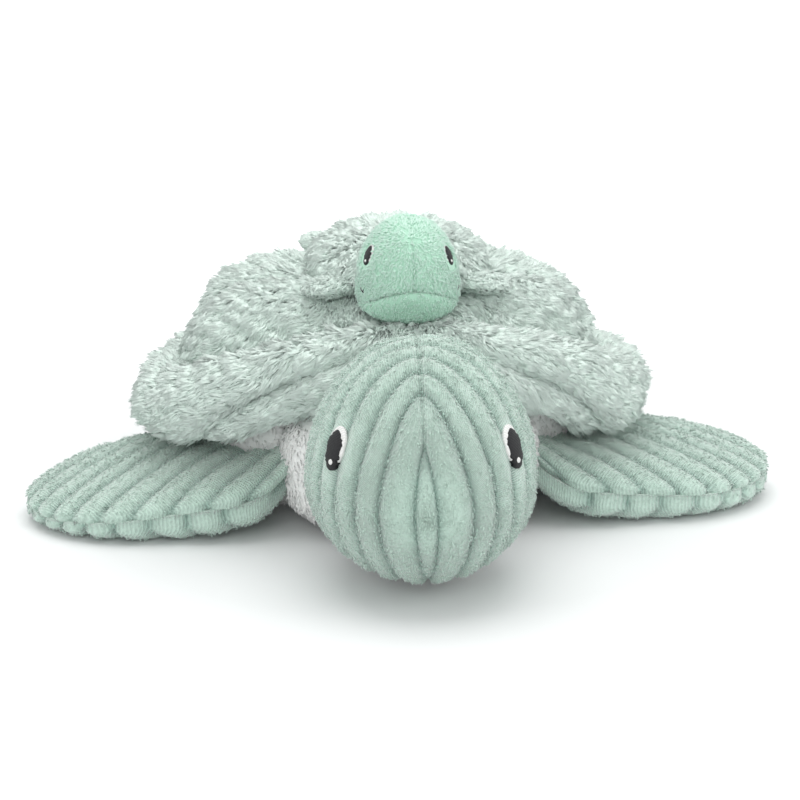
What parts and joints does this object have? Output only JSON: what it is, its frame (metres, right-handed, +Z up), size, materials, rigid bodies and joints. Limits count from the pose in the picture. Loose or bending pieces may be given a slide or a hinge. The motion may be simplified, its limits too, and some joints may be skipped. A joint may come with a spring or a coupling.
{
  "type": "plush turtle toy",
  "caption": "Plush sea turtle lying on its belly, with ribbed cord head and flippers, a soft fur shell with a padded rim, and a baby turtle that lifts off its back",
  "frame": {"origin": "on the floor under the middle of the belly, on the flat that the turtle lies on", "axes": "+Z up; the turtle faces -Y; its own left side is +X, which is also the longest direction, from flipper tip to flipper tip"},
  "size_m": [0.3538, 0.3146, 0.1471],
  "materials": {
    "shell_fur": "long soft pile, pale grey-green",
    "sage_cord": "wide-rib chenille cord, sage green",
    "white_fur": "short soft pile, white",
    "mint_velour": "short dense velour, mint green",
    "black_thread": "satin-stitch embroidery, black",
    "white_thread": "satin-stitch embroidery, white",
    "fibre_filling": "loose polyester fibre filling",
    "pad_cloth": "hook-and-loop tape, pale grey"
  },
  "bodies": {
    "torso": {"belly_panel": "white_fur", "shell_dome_cover": "shell_fur", "body_stuffing": "fibre_filling", "shell_rim_cover": "shell_fur", "shell_rim_stuffing": "fibre_filling", "shell_loop_pad": "pad_cloth"},
    "neck": {"neck": "white_fur"},
    "head": {"head_left_panel": "sage_cord", "head_right_panel": "sage_cord", "chin_panel": "white_fur", "head_stuffing": "fibre_filling", "eye_left_pupil": "black_thread", "eye_left_white": "white_thread", "eye_left_glint": "white_thread", "eye_right_pupil": "black_thread", "eye_right_white": "white_thread", "eye_right_glint": "white_thread"},
    "tail": {"tail": "sage_cord"},
    "baby": {"baby_shell_cover": "shell_fur", "baby_belly_panel": "white_fur", "baby_stuffing": "fibre_filling", "baby_hook_pad": "pad_cloth"},
    "baby_head": {"baby_head_left_panel": "mint_velour", "baby_head_right_panel": "mint_velour", "baby_chin_panel": "mint_velour", "baby_head_stuffing": "fibre_filling", "baby_mouth_stitch_left": "black_thread", "baby_mouth_stitch_right": "black_thread", "baby_eye_left_pupil": "black_thread", "baby_eye_left_white": "white_thread", "baby_eye_left_glint": "white_thread", "baby_eye_right_pupil": "black_thread", "baby_eye_right_white": "white_thread", "baby_eye_right_glint": "white_thread"},
    "front_flipper_left": {"front_flipper_left_top_panel": "sage_cord", "front_flipper_left_bottom_panel": "sage_cord", "front_flipper_left_stuffing": "fibre_filling"},
    "baby_front_flipper_left": {"baby_front_flipper_left": "shell_fur"},
    "front_flipper_right": {"front_flipper_right_top_panel": "sage_cord", "front_flipper_right_bottom_panel": "sage_cord", "front_flipper_right_stuffing": "fibre_filling"},
    "baby_front_flipper_right": {"baby_front_flipper_right": "shell_fur"},
    "rear_flipper_left": {"rear_flipper_left_top_panel": "sage_cord", "rear_flipper_left_bottom_panel": "sage_cord", "rear_flipper_left_stuffing": "fibre_filling"},
    "baby_rear_flipper_left": {"baby_rear_flipper_left": "shell_fur"},
    "rear_flipper_right": {"rear_flipper_right_top_panel": "sage_cord", "rear_flipper_right_bottom_panel": "sage_cord", "rear_flipper_right_stuffing": "fibre_filling"},
    "baby_rear_flipper_right": {"baby_rear_flipper_right": "shell_fur"}
  },
  "joints": [
    {"name": "neck_turn", "type": "hinge", "parent": "torso", "child": "neck", "pos_m": [0, -0.068, 0.04], "axis": [0, 0, 1], "range_deg": [-11, 21], "stiffness_Nm_per_rad": 0.15},
    {"name": "head_nod", "type": "hinge", "parent": "neck", "child": "head", "pos_m": [0, -0.068, 0.04], "axis": [-0.9962, 0.0872, 0], "range_deg": [0, 8], "stiffness_Nm_per_rad": 0.2},
    {"name": "front_flipper_left_sweep", "type": "hinge", "parent": "torso", "child": "front_flipper_left", "pos_m": [0.08, -0.012, 0.02], "axis": [0, 0, 1], "range_deg": [-20, 20], "stiffness_Nm_per_rad": 0.05},
    {"name": "rear_flipper_left_sweep", "type": "hinge", "parent": "torso", "child": "rear_flipper_left", "pos_m": [0.052, 0.092, 0.015], "axis": [0, 0, 1], "range_deg": [-15, 15], "stiffness_Nm_per_rad": 0.02},
    {"name": "front_flipper_right_sweep", "type": "hinge", "parent": "torso", "child": "front_flipper_right", "pos_m": [-0.08, -0.012, 0.02], "axis": [0, 0, -1], "range_deg": [-20, 20], "stiffness_Nm_per_rad": 0.05},
    {"name": "rear_flipper_right_sweep", "type": "hinge", "parent": "torso", "child": "rear_flipper_right", "pos_m": [-0.052, 0.092, 0.015], "axis": [0, 0, -1], "range_deg": [-15, 15], "stiffness_Nm_per_rad": 0.02},
    {"name": "tail_wag", "type": "hinge", "parent": "torso", "child": "tail", "pos_m": [0, 0.106, 0.018], "axis": [0, 0, 1], "range_deg": [-20, 20], "stiffness_Nm_per_rad": 0.01},
    {"name": "baby_lift", "type": "slide", "parent": "torso", "child": "baby", "axis": [0, 0, 1], "range_m": [0, 0.12]},
    {"name": "baby_head_nod", "type": "hinge", "parent": "baby", "child": "baby_head", "pos_m": [-0.002, -0.024, 0.122], "axis": [-1, 0, 0], "range_deg": [0, 15], "stiffness_Nm_per_rad": 0.02},
    {"name": "baby_front_flipper_left_sweep", "type": "hinge", "parent": "baby", "child": "baby_front_flipper_left", "pos_m": [0.032, -0.022, 0.115], "axis": [0, 0, 1], "range_deg": [-10, 10], "stiffness_Nm_per_rad": 0.005},
    {"name": "baby_rear_flipper_left_sweep", "type": "hinge", "parent": "baby", "child": "baby_rear_flipper_left", "pos_m": [0.029, 0.051, 0.115], "axis": [0, 0, 1], "range_deg": [-10, 10], "stiffness_Nm_per_rad": 0.005},
    {"name": "baby_front_flipper_right_sweep", "type": "hinge", "parent": "baby", "child": "baby_front_flipper_right", "pos_m": [-0.032, -0.022, 0.115], "axis": [0, 0, -1], "range_deg": [-10, 10], "stiffness_Nm_per_rad": 0.005},
    {"name": "baby_rear_flipper_right_sweep", "type": "hinge", "parent": "baby", "child": "baby_rear_flipper_right", "pos_m": [-0.029, 0.051, 0.115], "axis": [0, 0, -1], "range_deg": [-10, 10], "stiffness_Nm_per_rad": 0.005}
  ]
}
